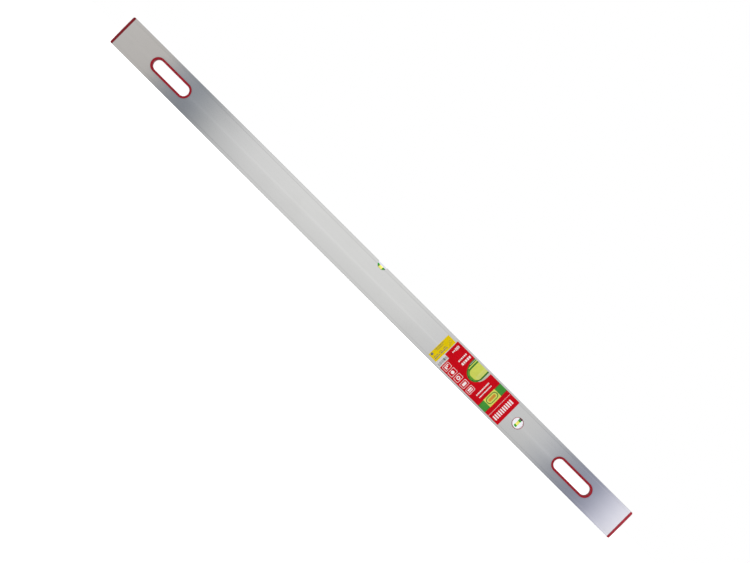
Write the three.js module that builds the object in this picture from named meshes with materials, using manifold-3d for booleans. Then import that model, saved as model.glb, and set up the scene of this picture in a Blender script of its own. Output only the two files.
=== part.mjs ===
// A two metre box-section spirit level, standing on its measuring edge.
// Millimetres. X runs along the level, Z is up and the front face looks along -Y.
// The origin is the middle of the bottom edge.

import * as THREE from 'three';
import { mergeVertices } from 'three/addons/utils/BufferGeometryUtils.js';
import Module from 'manifold-3d';

const wasm = await Module();
wasm.setup();

// Driving dimensions

const LEVEL_LENGTH = 2000;
const LEVEL_HEIGHT = 100;
const LEVEL_DEPTH = 18;

const FACE_WALL = 1.5; // the two wide walls
const EDGE_WALL = 2.4; // the two measuring edges
const WEB_THICKNESS = 1.5; // the rib that joins the wide walls half-way up
const OUTER_CORNER = 1;
const CHAMBER_CORNER = 1.2;

const CAP_FLANGE = 8.4; // how far a cap stands out of the profile
const CAP_INSET = 0.2; // keeps the caps clear of the surface that is measured
const CAP_CORNER = 4.3; // seen on the wide faces
const CAP_SIDE_CORNER = 1.2; // seen on the measuring edges
const CAP_LEG_LENGTH = 24;
const CAP_LEG_WALL = 1.8;
const CAP_JOINT_GAP = 0.1;

const HOLE_OFFSET = 804; // from the middle of the level to the middle of a hand hole
const HOLE_LENGTH = 134; // the clear opening
const HOLE_HEIGHT = 33;
const GRIP_FLANGE_WIDTH = 6.8;
const GRIP_FLANGE_THICKNESS = 1;
const GRIP_SLEEVE_WALL = 1.3;
const GRIP_SLEEVE_GAP = 0.3;

const FIT_GAP = 0.3; // between moulded pieces and the profile

const LEVEL_VIAL_X = -2.3; // the middle of the horizontal vial and of the notch above it
const LEVEL_VIAL_Z = 89.6;
const NOTCH_RADIUS = 16; // window in the top edge, a little less than half round
const NOTCH_Z = 100.2;
const PLUMB_VIAL_X = 586.7; // the middle of the upright vial
const PLUMB_HOLE_RADIUS = 17.2;

const BORE_RADIUS = 4.7;
const LEVEL_CLOSED_END = 15; // from the middle of a vial to its closed end
const PLUMB_CLOSED_END = 12.2;
const CAVITY_ROUND = 1.6;
const PLUG_FACE = 11.7; // from the middle of a vial to the inner face of its plug
const LINER_RADIUS = 4.6; // outside of everything that lies in the bore
const LINER_INNER = 4.05;
const LINE_OFFSET = 6.6; // from the middle of a vial to a reading line
const LINE_WIDTH = 0.6;
const LINER_GAP = 0.15;
const LIQUID_RADIUS = 3.9; // where a sleeve or a line surrounds the liquid
const CHANNEL_RADIUS = 3.35; // the space in the liquid that the bubble moves in
const CHANNEL_HALF = 11.6;
const BUBBLE_RADIUS = 3.05;
const BUBBLE_LENGTH = 11.8;
const BUBBLE_END_ROUND = 2.5;

const LABEL_THICKNESS = 0.2;
const LABEL_GAP = 0.02;

const CORNER_STEPS = 4; // per quarter turn on small corners
const HAND_HOLE_STEPS = 8; // per quarter turn on the hand holes
const END_STEPS = 5; // per quarter turn on rounded ends
const VIAL_SIDES = 24; // of everything turned inside a vial
const HOLE_SIDES = 48; // of the notch, the plumb hole and what fills it

const MIDDLE_Z = LEVEL_HEIGHT / 2;
const HALF_DEPTH = LEVEL_DEPTH / 2;
const PROFILE_END = LEVEL_LENGTH / 2 - CAP_FLANGE;
const CHAMBER_HALF_DEPTH = HALF_DEPTH - FACE_WALL;
const WEB_TOP = MIDDLE_Z + WEB_THICKNESS / 2;
const CHAMBER_TOP = LEVEL_HEIGHT - EDGE_WALL;

// Materials

function finish(color, roughness, metalness = 0, opacity = 1) {
  return new THREE.MeshStandardMaterial({
    color,
    roughness,
    metalness,
    opacity,
    transparent: opacity < 1,
  });
}

const ALUMINIUM = finish(0xc6c7c8, 0.4, 1);
const RED_PLASTIC = finish(0x8f1626, 0.45);
const GREY_PLASTIC = finish(0x55585a, 0.6);
const CLEAR_ACRYLIC = finish(0xeef0fb, 0.05, 0, 0.3);
const DARK_PLUG = finish(0x3a2f2b, 0.5);
const YELLOW_LIQUID = finish(0xe8ec54, 0.1, 0, 0.6);
const GREEN_TINT = finish(0x2f9e35, 0.15, 0, 0.7);
const BLACK_LINE = finish(0x16171a, 0.4);
const BUBBLE_AIR = finish(0xf7f8c8, 0.05, 0, 0.5);
const RED_LABEL = finish(0xb80020, 0.35);
const YELLOW_LABEL = finish(0xdcbe00, 0.4);
const WHITE_LABEL = finish(0xe4e5e6, 0.5);

// Solids

function closed(geometry) {
  const bare = new THREE.BufferGeometry();
  bare.setAttribute('position', geometry.getAttribute('position'));
  bare.setIndex(geometry.index);
  const merged = mergeVertices(bare);
  const corners = merged.index.array;
  const kept = [];
  for (let i = 0; i < corners.length; i += 3) {
    const [a, b, c] = corners.slice(i, i + 3);
    if (a !== b && b !== c && c !== a) {
      kept.push(a, b, c);
    }
  }
  merged.setIndex(kept);
  return facingOut(merged);
}

function facingOut(geometry) {
  const place = geometry.getAttribute('position');
  const corners = geometry.index.array;
  const [a, b, c] = [new THREE.Vector3(), new THREE.Vector3(), new THREE.Vector3()];
  let volume = 0;
  for (let i = 0; i < corners.length; i += 3) {
    a.fromBufferAttribute(place, corners[i]);
    b.fromBufferAttribute(place, corners[i + 1]);
    c.fromBufferAttribute(place, corners[i + 2]);
    volume += a.dot(b.cross(c));
  }
  if (volume < 0) {
    geometry.setIndex(Array.from(corners).reverse());
  }
  return geometry;
}

function toSolid(geometry) {
  const shape = closed(geometry);
  return new wasm.Manifold(new wasm.Mesh({
    numProp: 3,
    vertProperties: new Float32Array(shape.getAttribute('position').array),
    triVerts: new Uint32Array(shape.index.array),
  }));
}

function toGeometry(solid) {
  const { vertProperties, triVerts } = solid.getMesh();
  const geometry = new THREE.BufferGeometry();
  geometry.setAttribute('position', new THREE.BufferAttribute(vertProperties, 3));
  geometry.setIndex(new THREE.BufferAttribute(triVerts, 1));
  geometry.computeVertexNormals();
  return geometry;
}

function cut(body, ...tools) {
  return toGeometry(tools.reduce((solid, tool) => solid.subtract(toSolid(tool)), toSolid(body)));
}

function joined(first, ...others) {
  return toGeometry(others.reduce((solid, other) => solid.add(toSolid(other)), toSolid(first)));
}

function common(first, second) {
  return toGeometry(toSolid(first).intersect(toSolid(second)));
}

// Outlines and the ways they are extruded or turned

const AXIS_X = new THREE.Vector3(1, 0, 0);
const AXIS_Y = new THREE.Vector3(0, 1, 0);
const AXIS_Z = new THREE.Vector3(0, 0, 1);

// three.js divides an arc into twice its curveSegments
function extruded(outline, depth, arcSteps = CORNER_STEPS) {
  return new THREE.ExtrudeGeometry(outline, {
    depth,
    bevelEnabled: false,
    curveSegments: arcSteps / 2,
  });
}

// An outline in X and Z that reaches from one Y to another
function throughY(outline, fromY, toY, arcSteps = CORNER_STEPS) {
  const turn = new THREE.Matrix4().makeBasis(AXIS_X, AXIS_Z, AXIS_Y.clone().negate());
  return extruded(outline, toY - fromY, arcSteps).applyMatrix4(turn).translate(0, toY, 0);
}

// An outline in Y and Z that reaches from one X to another
function alongX(outline, fromX, toX) {
  const turn = new THREE.Matrix4().makeBasis(AXIS_Y, AXIS_Z, AXIS_X);
  return extruded(outline, toX - fromX).applyMatrix4(turn).translate(fromX, 0, 0);
}

// Pairs of [along X, radius], turned about X
function turnedAboutX(profile, sides = VIAL_SIDES) {
  const points = profile.map(([along, radius]) => new THREE.Vector2(radius, along));
  return new THREE.LatheGeometry(points, sides).rotateZ(-Math.PI / 2);
}

function roundHole(x, z, radius) {
  const drill = turnedAboutX([
    [-LEVEL_DEPTH, 0],
    [-LEVEL_DEPTH, radius],
    [LEVEL_DEPTH, radius],
    [LEVEL_DEPTH, 0],
  ], HOLE_SIDES);
  return drill.rotateZ(Math.PI / 2).translate(x, 0, z);
}

function ringAboutX(fromX, toX, innerRadius, outerRadius, sides = VIAL_SIDES) {
  return turnedAboutX([
    [fromX, innerRadius],
    [fromX, outerRadius],
    [toX, outerRadius],
    [toX, innerRadius],
    [fromX, innerRadius],
  ], sides);
}

// Pairs of [along X, radius] that round an end from its axis out to the full radius
function roundedEnd(tipX, radius, round, direction) {
  const points = [[tipX, 0]];
  for (let step = 0; step <= END_STEPS; step += 1) {
    const angle = (step / END_STEPS) * (Math.PI / 2);
    points.push([
      tipX + direction * round * (1 - Math.cos(angle)),
      radius - round + round * Math.sin(angle),
    ]);
  }
  return points;
}

function roundedRectangle(left, bottom, right, top, radius) {
  const outline = new THREE.Shape();
  const quarter = Math.PI / 2;
  outline.moveTo(left + radius, bottom);
  outline.lineTo(right - radius, bottom);
  outline.absarc(right - radius, bottom + radius, radius, -quarter, 0, false);
  outline.lineTo(right, top - radius);
  outline.absarc(right - radius, top - radius, radius, 0, quarter, false);
  outline.lineTo(left + radius, top);
  outline.absarc(left + radius, top - radius, radius, quarter, 2 * quarter, false);
  outline.lineTo(left, bottom + radius);
  outline.absarc(left + radius, bottom + radius, radius, 2 * quarter, 3 * quarter, false);
  return outline;
}

// A hand hole's outline, grown by a margin all round
function handHoleOutline(margin) {
  const radius = HOLE_HEIGHT / 2 + margin;
  const reach = HOLE_LENGTH / 2 + margin;
  return roundedRectangle(-reach, -radius, reach, radius, radius);
}

function handHoleRing(innerMargin, outerMargin, fromY, toY) {
  const outline = handHoleOutline(outerMargin);
  outline.holes.push(handHoleOutline(innerMargin));
  return throughY(outline, fromY, toY, HAND_HOLE_STEPS);
}

function polygon(corners) {
  return new THREE.Shape(corners.map(([x, z]) => new THREE.Vector2(x, z)));
}

function named(name, geometry, material) {
  const mesh = new THREE.Mesh(geometry, material);
  mesh.name = name;
  return mesh;
}

function groupOf(...meshes) {
  const group = new THREE.Group();
  group.add(...meshes);
  return group;
}

// Box profile: two chambers with a web between them, and the openings cut through both walls

const GRIP_OUTER_MARGIN = 2 * GRIP_SLEEVE_WALL + GRIP_SLEEVE_GAP;

function boxProfile() {
  const section = roundedRectangle(-HALF_DEPTH, 0, HALF_DEPTH, LEVEL_HEIGHT, OUTER_CORNER);
  const chambers = [
    [EDGE_WALL, WEB_TOP - WEB_THICKNESS],
    [WEB_TOP, CHAMBER_TOP],
  ];
  for (const [bottom, top] of chambers) {
    section.holes.push(roundedRectangle(
      -CHAMBER_HALF_DEPTH, bottom, CHAMBER_HALF_DEPTH, top, CHAMBER_CORNER,
    ));
  }
  const handHole = handHoleOutline(GRIP_OUTER_MARGIN + FIT_GAP);
  const handHoles = [-HOLE_OFFSET, HOLE_OFFSET].map((x) => (
    throughY(handHole, -LEVEL_DEPTH, LEVEL_DEPTH, HAND_HOLE_STEPS).translate(x, 0, MIDDLE_Z)
  ));
  return cut(
    alongX(section, -PROFILE_END, PROFILE_END),
    ...handHoles,
    roundHole(LEVEL_VIAL_X, NOTCH_Z, NOTCH_RADIUS),
    roundHole(PLUMB_VIAL_X, MIDDLE_Z, PLUMB_HOLE_RADIUS),
  );
}

// End cap: a rounded flange with a hollow leg for each chamber, drawn for the +X end

function capLeg(bottom, top) {
  const halfDepth = CHAMBER_HALF_DEPTH - FIT_GAP;
  const leg = roundedRectangle(
    -halfDepth, bottom + FIT_GAP, halfDepth, top - FIT_GAP, CHAMBER_CORNER,
  );
  leg.holes.push(roundedRectangle(
    -halfDepth + CAP_LEG_WALL,
    bottom + FIT_GAP + CAP_LEG_WALL,
    halfDepth - CAP_LEG_WALL,
    top - FIT_GAP - CAP_LEG_WALL,
    CHAMBER_CORNER / 2,
  ));
  const rootX = PROFILE_END + CAP_FLANGE / 4;
  return alongX(leg, PROFILE_END - CAP_LEG_LENGTH, rootX);
}

function endCap() {
  const inner = PROFILE_END + CAP_JOINT_GAP;
  const outer = LEVEL_LENGTH / 2;
  const low = CAP_INSET;
  const high = LEVEL_HEIGHT - CAP_INSET;
  const face = roundedRectangle(inner - CAP_CORNER * 2, low, outer, high, CAP_CORNER);
  const halfDepth = HALF_DEPTH - CAP_INSET;
  const side = roundedRectangle(
    inner - CAP_SIDE_CORNER * 2, -halfDepth, outer, halfDepth, CAP_SIDE_CORNER,
  );
  const seat = polygon([
    [inner, -LEVEL_HEIGHT],
    [outer + CAP_FLANGE, -LEVEL_HEIGHT],
    [outer + CAP_FLANGE, 2 * LEVEL_HEIGHT],
    [inner, 2 * LEVEL_HEIGHT],
  ]);
  const flange = common(
    common(throughY(face, -LEVEL_DEPTH, LEVEL_DEPTH), extruded(side, LEVEL_HEIGHT)),
    throughY(seat, -LEVEL_DEPTH, LEVEL_DEPTH),
  );
  return joined(
    flange,
    capLeg(EDGE_WALL, WEB_TOP - WEB_THICKNESS),
    capLeg(WEB_TOP, CHAMBER_TOP),
  );
}

// Hand-hole grip: two shells, the rear one sleeved over the front one

const GRIP_OUTER_SLEEVE = GRIP_SLEEVE_WALL + GRIP_SLEEVE_GAP;
const GRIP_REAR_REACH = 6; // how far the rear sleeve reaches past the middle

function gripFront() {
  const root = -HALF_DEPTH - GRIP_FLANGE_THICKNESS / 2;
  return joined(
    handHoleRing(0, GRIP_FLANGE_WIDTH, -HALF_DEPTH - GRIP_FLANGE_THICKNESS, -HALF_DEPTH),
    handHoleRing(0, GRIP_SLEEVE_WALL, root, HALF_DEPTH - GRIP_SLEEVE_GAP),
  );
}

function gripRear() {
  const root = HALF_DEPTH + GRIP_FLANGE_THICKNESS / 2;
  return joined(
    handHoleRing(0, GRIP_FLANGE_WIDTH, HALF_DEPTH, HALF_DEPTH + GRIP_FLANGE_THICKNESS),
    handHoleRing(GRIP_OUTER_SLEEVE, GRIP_OUTER_MARGIN, -GRIP_REAR_REACH, root),
  );
}

function handGrip(side, x) {
  const group = groupOf(
    named(`${side}_grip_front`, gripFront(), RED_PLASTIC),
    named(`${side}_grip_rear`, gripRear(), RED_PLASTIC),
  );
  group.position.set(x, 0, MIDDLE_Z);
  return group;
}

// What both vials hold, drawn along X with the plug at the +X end

function liquid(closedEnd) {
  const innerEnd = -closedEnd + LINER_GAP;
  const shoulder = LINE_OFFSET - LINE_WIDTH / 2 - LINER_GAP;
  const outerEnd = PLUG_FACE - LINER_GAP;
  return turnedAboutX([
    ...roundedEnd(innerEnd, LIQUID_RADIUS, CAVITY_ROUND, 1),
    [-shoulder, LIQUID_RADIUS],
    [-shoulder, LINER_RADIUS],
    [shoulder, LINER_RADIUS],
    [shoulder, LIQUID_RADIUS],
    [outerEnd, LIQUID_RADIUS],
    [outerEnd, CHANNEL_RADIUS],
    [-CHANNEL_HALF + CHANNEL_RADIUS / 4, CHANNEL_RADIUS],
    [-CHANNEL_HALF, CHANNEL_RADIUS / 2],
    [-CHANNEL_HALF, 0],
  ]);
}

function bubble() {
  const half = BUBBLE_LENGTH / 2;
  const start = roundedEnd(-half, BUBBLE_RADIUS, BUBBLE_END_ROUND, 1);
  const end = roundedEnd(half, BUBBLE_RADIUS, BUBBLE_END_ROUND, -1).reverse();
  return turnedAboutX([...start, ...end]);
}

function readingLine(centreX) {
  const half = LINE_WIDTH / 2;
  return ringAboutX(centreX - half, centreX + half, LINER_INNER, LINER_RADIUS);
}

function fieldSleeve(fromX, toX) {
  return ringAboutX(fromX, toX, LINER_INNER, LINER_RADIUS);
}

function vialPlug(outerX) {
  return turnedAboutX([
    [PLUG_FACE, 0],
    [PLUG_FACE, LINER_RADIUS],
    [outerX, LINER_RADIUS],
    [outerX, 0],
  ]);
}

function bore(closedEnd, outerX) {
  return turnedAboutX([
    ...roundedEnd(-closedEnd, BORE_RADIUS, CAVITY_ROUND, 1),
    [outerX, BORE_RADIUS],
    [outerX, 0],
  ]);
}

function vialInsides(vial, closedSide, plugSide, closedEnd, plugEnd) {
  const sleeveStart = LINE_OFFSET + LINE_WIDTH / 2 + LINER_GAP;
  const sleeveEnd = closedEnd - CAVITY_ROUND - LINER_GAP;
  const pieces = [
    ['plug', vialPlug(plugEnd), DARK_PLUG],
    ['liquid', liquid(closedEnd), YELLOW_LIQUID],
    ['bubble', bubble(), BUBBLE_AIR],
    [`line_${closedSide}`, readingLine(-LINE_OFFSET), BLACK_LINE],
    [`line_${plugSide}`, readingLine(LINE_OFFSET), BLACK_LINE],
    [`field_${closedSide}`, fieldSleeve(-sleeveEnd, -sleeveStart), GREEN_TINT],
    [`field_${plugSide}`, fieldSleeve(sleeveStart, PLUG_FACE - LINER_GAP), GREEN_TINT],
  ];
  return pieces.map(([part, geometry, material]) => named(`${vial}_${part}`, geometry, material));
}

// Horizontal vial: an acrylic block pushed up into the notch from inside the profile

const VIAL_BLOCK_SIDE_GAP = 0.5; // clears the rounded corners of the chamber
const VIAL_BLOCK_DEPTH = 2 * (CHAMBER_HALF_DEPTH - VIAL_BLOCK_SIDE_GAP);
const VIAL_BLOCK_HALF = 21;
const VIAL_BLOCK_BOTTOM = 82;
const VIAL_PAD_TOP = LEVEL_HEIGHT - FIT_GAP;
const CRADLE_LIP_WIDTH = 2.7;
const CRADLE_LIP_RISE = 1.5; // above the middle of the vial
const CRADLE_SEAT_THICKNESS = 3.5;

function levelVialBlock() {
  const shoulderZ = CHAMBER_TOP - FIT_GAP;
  const padHalf = Math.sqrt(NOTCH_RADIUS ** 2 - (NOTCH_Z - shoulderZ) ** 2) - 2 * FIT_GAP;
  const outline = polygon([
    [-VIAL_BLOCK_HALF, VIAL_BLOCK_BOTTOM],
    [VIAL_BLOCK_HALF, VIAL_BLOCK_BOTTOM],
    [VIAL_BLOCK_HALF, shoulderZ],
    [padHalf, shoulderZ],
    [padHalf, VIAL_PAD_TOP],
    [-padHalf, VIAL_PAD_TOP],
    [-padHalf, shoulderZ],
    [-VIAL_BLOCK_HALF, shoulderZ],
  ]);
  const block = throughY(outline, -VIAL_BLOCK_DEPTH / 2, VIAL_BLOCK_DEPTH / 2)
    .translate(0, 0, -LEVEL_VIAL_Z);
  return cut(block, bore(LEVEL_CLOSED_END, VIAL_BLOCK_HALF + BORE_RADIUS));
}

function levelVialCradle() {
  const inner = VIAL_BLOCK_HALF + FIT_GAP;
  const outer = inner + CRADLE_LIP_WIDTH;
  const footInner = outer - 2 * CRADLE_LIP_WIDTH;
  const foot = WEB_TOP + FIT_GAP;
  const seat = VIAL_BLOCK_BOTTOM - FIT_GAP;
  const underSeat = seat - CRADLE_SEAT_THICKNESS;
  const lipTop = LEVEL_VIAL_Z + CRADLE_LIP_RISE;
  const outline = polygon([
    [-outer, foot],
    [-footInner, foot],
    [-footInner, underSeat],
    [footInner, underSeat],
    [footInner, foot],
    [outer, foot],
    [outer, lipTop],
    [inner, lipTop],
    [inner, seat],
    [-inner, seat],
    [-inner, lipTop],
    [-outer, lipTop],
  ]);
  return throughY(outline, -VIAL_BLOCK_DEPTH / 2, VIAL_BLOCK_DEPTH / 2).translate(LEVEL_VIAL_X, 0, 0);
}

function levelVial() {
  const vial = groupOf(
    named('level_vial_block', levelVialBlock(), CLEAR_ACRYLIC),
    ...vialInsides(
      'level_vial', 'left', 'right', LEVEL_CLOSED_END, VIAL_BLOCK_HALF - FIT_GAP,
    ),
  );
  vial.position.set(LEVEL_VIAL_X, 0, LEVEL_VIAL_Z);
  return vial;
}

// Upright vial: a round acrylic block with a thin red ring in each wall of the profile

const PLUMB_BLOCK_RADIUS = 16.2;
const PLUMB_BEVEL = 1.7;
const PLUMB_BLOCK_RECESS = 0.4;
const PLUMB_RING_INNER = 16.4;
const PLUMB_RING_OUTER = 17;
const PLUMB_RING_LENGTH = 3.5;

function plumbVialBlock() {
  const half = HALF_DEPTH - PLUMB_BLOCK_RECESS;
  const side = half - PLUMB_BEVEL;
  const faceRadius = PLUMB_BLOCK_RADIUS - PLUMB_BEVEL;
  const disc = turnedAboutX([
    [-half, 0],
    [-half, faceRadius],
    [-side, PLUMB_BLOCK_RADIUS],
    [side, PLUMB_BLOCK_RADIUS],
    [half, faceRadius],
    [half, 0],
  ], HOLE_SIDES).rotateZ(Math.PI / 2);
  return cut(disc, bore(PLUMB_CLOSED_END, PLUMB_BLOCK_RADIUS + BORE_RADIUS));
}

function plumbVial() {
  const vial = groupOf(
    named('plumb_vial_block', plumbVialBlock(), CLEAR_ACRYLIC),
    ...vialInsides(
      'plumb_vial', 'lower', 'upper', PLUMB_CLOSED_END, PLUMB_BLOCK_RADIUS - 3 * FIT_GAP,
    ),
  );
  vial.position.set(PLUMB_VIAL_X, 0, MIDDLE_Z);
  vial.rotation.y = -Math.PI / 2;
  return vial;
}

function plumbRings() {
  const front = ringAboutX(
    -HALF_DEPTH,
    -HALF_DEPTH + PLUMB_RING_LENGTH,
    PLUMB_RING_INNER,
    PLUMB_RING_OUTER,
    HOLE_SIDES,
  ).rotateZ(Math.PI / 2);
  const rear = front.clone().rotateZ(Math.PI);
  const rings = groupOf(
    named('plumb_ring_front', front, RED_PLASTIC),
    named('plumb_ring_rear', rear, RED_PLASTIC),
  );
  rings.position.set(PLUMB_VIAL_X, 0, MIDDLE_Z);
  return rings;
}

// Labels on the front face

const MAIN_LABEL = { left: 301.9, right: 549.7, bottom: 5.9, top: 95.1 };
const STOCK_LABEL = { left: 300.4, right: 318.1, bottom: 5.6, top: 42.5 };
const CARE_LABEL = { centreX: 284.7, centreZ: 49.3, width: 30.4, height: 79.4, tilt: 0.9 };
const LABEL_SEAM = 0.4; // between the red label and the white one

function labelled(name, corners, material) {
  const back = -HALF_DEPTH - LABEL_GAP;
  return named(name, throughY(polygon(corners), back - LABEL_THICKNESS, back), material);
}

function labels() {
  const main = MAIN_LABEL;
  const stock = STOCK_LABEL;
  const mainMesh = labelled('main_label', [
    [main.left, stock.top + LABEL_SEAM],
    [stock.right + LABEL_SEAM, stock.top + LABEL_SEAM],
    [stock.right + LABEL_SEAM, main.bottom],
    [main.right, main.bottom],
    [main.right, main.top],
    [main.left, main.top],
  ], RED_LABEL);
  const stockMesh = labelled('stock_label', [
    [stock.left, stock.bottom],
    [stock.right, stock.bottom],
    [stock.right, stock.top],
    [stock.left, stock.top],
  ], WHITE_LABEL);
  const halfWidth = CARE_LABEL.width / 2;
  const halfHeight = CARE_LABEL.height / 2;
  const careMesh = labelled('care_label', [
    [-halfWidth, -halfHeight],
    [halfWidth, -halfHeight],
    [halfWidth, halfHeight],
    [-halfWidth, halfHeight],
  ], YELLOW_LABEL);
  careMesh.position.set(CARE_LABEL.centreX, 0, CARE_LABEL.centreZ);
  careMesh.rotation.y = THREE.MathUtils.degToRad(CARE_LABEL.tilt);
  return groupOf(mainMesh, careMesh, stockMesh);
}

// The whole level

function endCaps() {
  const right = named('end_cap_right', endCap(), RED_PLASTIC);
  const left = named('end_cap_left', right.geometry.clone(), RED_PLASTIC);
  left.rotation.z = Math.PI;
  return groupOf(left, right);
}

const level = groupOf(
  named('box_profile', boxProfile(), ALUMINIUM),
  endCaps(),
  handGrip('left', -HOLE_OFFSET),
  handGrip('right', HOLE_OFFSET),
  named('level_vial_cradle', levelVialCradle(), GREY_PLASTIC),
  levelVial(),
  plumbVial(),
  plumbRings(),
  labels(),
);

export default level;
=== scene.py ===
"""The looks of a two metre box-section spirit level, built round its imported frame.

Shapes are written in millimetres. Materials, lamps and the camera are in metres.
"""
import math

import bmesh
import bpy
from mathutils import Matrix, Vector
from mathutils.geometry import delaunay_2d_cdt


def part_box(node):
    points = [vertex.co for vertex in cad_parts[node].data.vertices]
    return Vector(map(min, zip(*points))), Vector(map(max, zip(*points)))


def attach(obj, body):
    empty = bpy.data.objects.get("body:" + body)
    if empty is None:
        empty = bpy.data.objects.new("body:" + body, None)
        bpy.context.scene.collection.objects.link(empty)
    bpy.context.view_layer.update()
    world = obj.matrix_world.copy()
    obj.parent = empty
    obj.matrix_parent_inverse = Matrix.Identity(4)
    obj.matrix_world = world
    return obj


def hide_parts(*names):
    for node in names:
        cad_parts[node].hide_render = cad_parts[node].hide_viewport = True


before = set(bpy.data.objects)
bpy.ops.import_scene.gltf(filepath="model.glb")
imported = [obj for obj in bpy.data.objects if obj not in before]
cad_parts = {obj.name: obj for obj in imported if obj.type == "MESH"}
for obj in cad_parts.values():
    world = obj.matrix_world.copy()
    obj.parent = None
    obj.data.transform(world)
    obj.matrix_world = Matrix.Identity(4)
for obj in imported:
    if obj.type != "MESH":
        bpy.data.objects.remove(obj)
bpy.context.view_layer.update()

# Sizes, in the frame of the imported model

MM = 0.001


def box_mm(node):
    lo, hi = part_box(node)
    return lo / MM, hi / MM


PROFILE_HI = box_mm("box_profile")[1]
CAP_LO, CAP_HI = box_mm("end_cap_right")
LEVEL_LENGTH = 2 * CAP_HI.x
LEVEL_HEIGHT = PROFILE_HI.z
HALF_DEPTH = PROFILE_HI.y
PROFILE_END = PROFILE_HI.x
MIDDLE_Z = LEVEL_HEIGHT / 2

FACE_WALL = 1.5
EDGE_WALL = 2.4
WEB_THICKNESS = 1.5
OUTER_CORNER = 1
CHAMBER_CORNER = 1.2
GROOVE_FROM_EDGE = 9.2
GROOVE_WIDTH = 0.9
GROOVE_DEPTH = 0.15
DEBURR = 0.3
CHAMBER_HALF_DEPTH = HALF_DEPTH - FACE_WALL
WEB_BOTTOM = MIDDLE_Z - WEB_THICKNESS / 2
WEB_TOP = MIDDLE_Z + WEB_THICKNESS / 2
CHAMBER_TOP = LEVEL_HEIGHT - EDGE_WALL
CHAMBERS = ((EDGE_WALL, WEB_BOTTOM), (WEB_TOP, CHAMBER_TOP))
FIT_GAP = 0.3

CAP_INSET = 0.2
CAP_JOINT_GAP = 0.1
CAP_CORNER = 4.3  # seen on the wide faces
CAP_SIDE_CORNER = 1.2  # seen on the measuring edges
CAP_SECTION_ROUND = 2.2
CAP_LEG_WALL = 1.8
CAP_LEG_ROOT = 1.6  # how far the legs reach into the flange
CAP_RECESS = 0.5
CAP_RECESS_BORDER = 2.4

HOLE_OFFSET = 804  # from the middle of the level to the middle of a hand hole
HOLE_LENGTH = 134
HOLE_HEIGHT = 33
GRIP_FLANGE_WIDTH = 6.8
GRIP_FLANGE_FACE = 10
GRIP_SLEEVE_WALL = 1.3
GRIP_REAR_INNER = 1.6
GRIP_REAR_OUTER = 2.9
GRIP_REAR_REACH = 6
GRIP_CUT_MARGIN = GRIP_REAR_OUTER + FIT_GAP

LEVEL_VIAL_X = -2.3
LEVEL_VIAL_Z = 89.6
NOTCH_RADIUS = 16
NOTCH_Z = 100.2
CRADLE_LIP_WIDTH = 2.7
CRADLE_SEAT_THICKNESS = 3.5
PLUMB_VIAL_X = 586.7
PLUMB_HOLE_RADIUS = 17.2
PLUMB_BLOCK_RADIUS = 16.2
PLUMB_BLOCK_BEVEL = 1.7
PLUMB_RING_INNER = 16.4
PLUMB_RING_OUTER = 17
PLUMB_RING_LENGTH = 3.5

BORE_RADIUS = 4.7
LEVEL_CLOSED_END = 15  # from the middle of a vial to its closed end
PLUMB_CLOSED_END = 12.2
CAVITY_ROUND = 1.6
PLUG_FACE = 11.7  # from the middle of a vial to its plug
LINER_RADIUS = 4.6
LINER_INNER = 4.05
LINE_OFFSET = 6.6  # from the middle of a vial to a reading line
LINE_HALF = 0.3
LINER_GAP = 0.15
LINER_DOME = 0.55
LIQUID_RADIUS = 3.9
BUBBLE_RADIUS = 2.6
BUBBLE_HALF = 5.8
BUBBLE_RISE = 0.9  # how far the bubble of the horizontal vial lies above the middle of its bore

LABEL_GAP = 0.02
LABEL_THICKNESS = 0.2
LABEL_SEAM = 0.4
LABEL_BACK = -HALF_DEPTH - LABEL_GAP
LABEL_FRONT = LABEL_BACK - LABEL_THICKNESS
CARE_LABEL_WIDTH = 30.4
CARE_LABEL_HEIGHT = 79.4
CARE_LABEL_TILT = math.radians(0.9)

# Outlines and meshes. Everything is drawn in millimetres and leaves here in metres.

SMALLEST_RADIUS = 0.05
ON_AXIS = 1e-6
FINE_SIDES = 128  # of what is turned for the notch and the plumb hole


def rounded(corners, radii, steps=6, closed=True):
    """An outline with its corners turned into arcs, with one radius for all or one for each."""
    count = len(corners)
    if not isinstance(radii, (list, tuple)):
        radii = [radii] * count
    outline = []
    for index, (corner, radius) in enumerate(zip(corners, radii)):
        here = Vector(corner)
        at_end = not closed and index in (0, count - 1)
        if radius <= 0 or at_end:
            outline.append(here)
            continue
        before = (Vector(corners[index - 1]) - here).normalized()
        after = (Vector(corners[(index + 1) % count]) - here).normalized()
        half = before.angle(after) / 2
        centre = here + (before + after).normalized() * (radius / math.sin(half))
        first = here + before * (radius / math.tan(half)) - centre
        last = here + after * (radius / math.tan(half)) - centre
        sweep = math.atan2(first.x * last.y - first.y * last.x, first.dot(last))
        start = math.atan2(first.y, first.x)
        for step in range(steps + 1):
            angle = start + sweep * step / steps
            outline.append(centre + radius * Vector((math.cos(angle), math.sin(angle))))
    return outline


def rectangle(left, bottom, right, top):
    return [(left, bottom), (right, bottom), (right, top), (left, top)]


def inset(corners, amount):
    """The corners of an anticlockwise outline, moved in by an amount from every side."""
    moved = []
    count = len(corners)
    for index in range(count):
        before, here, after = (Vector(corners[(index + k) % count]) for k in (-1, 0, 1))
        coming = (here - before).normalized()
        going = (after - here).normalized()
        inward = Vector((-coming.y - going.y, coming.x + going.x))
        scale = amount / (1 + coming.dot(going))
        moved.append(here + inward * scale)
    return moved


def turns_left(corners, index):
    before, here, after = (Vector(corners[(index + k) % len(corners)]) for k in (-1, 0, 1))
    return (here - before).cross(after - here) > 0


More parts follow.
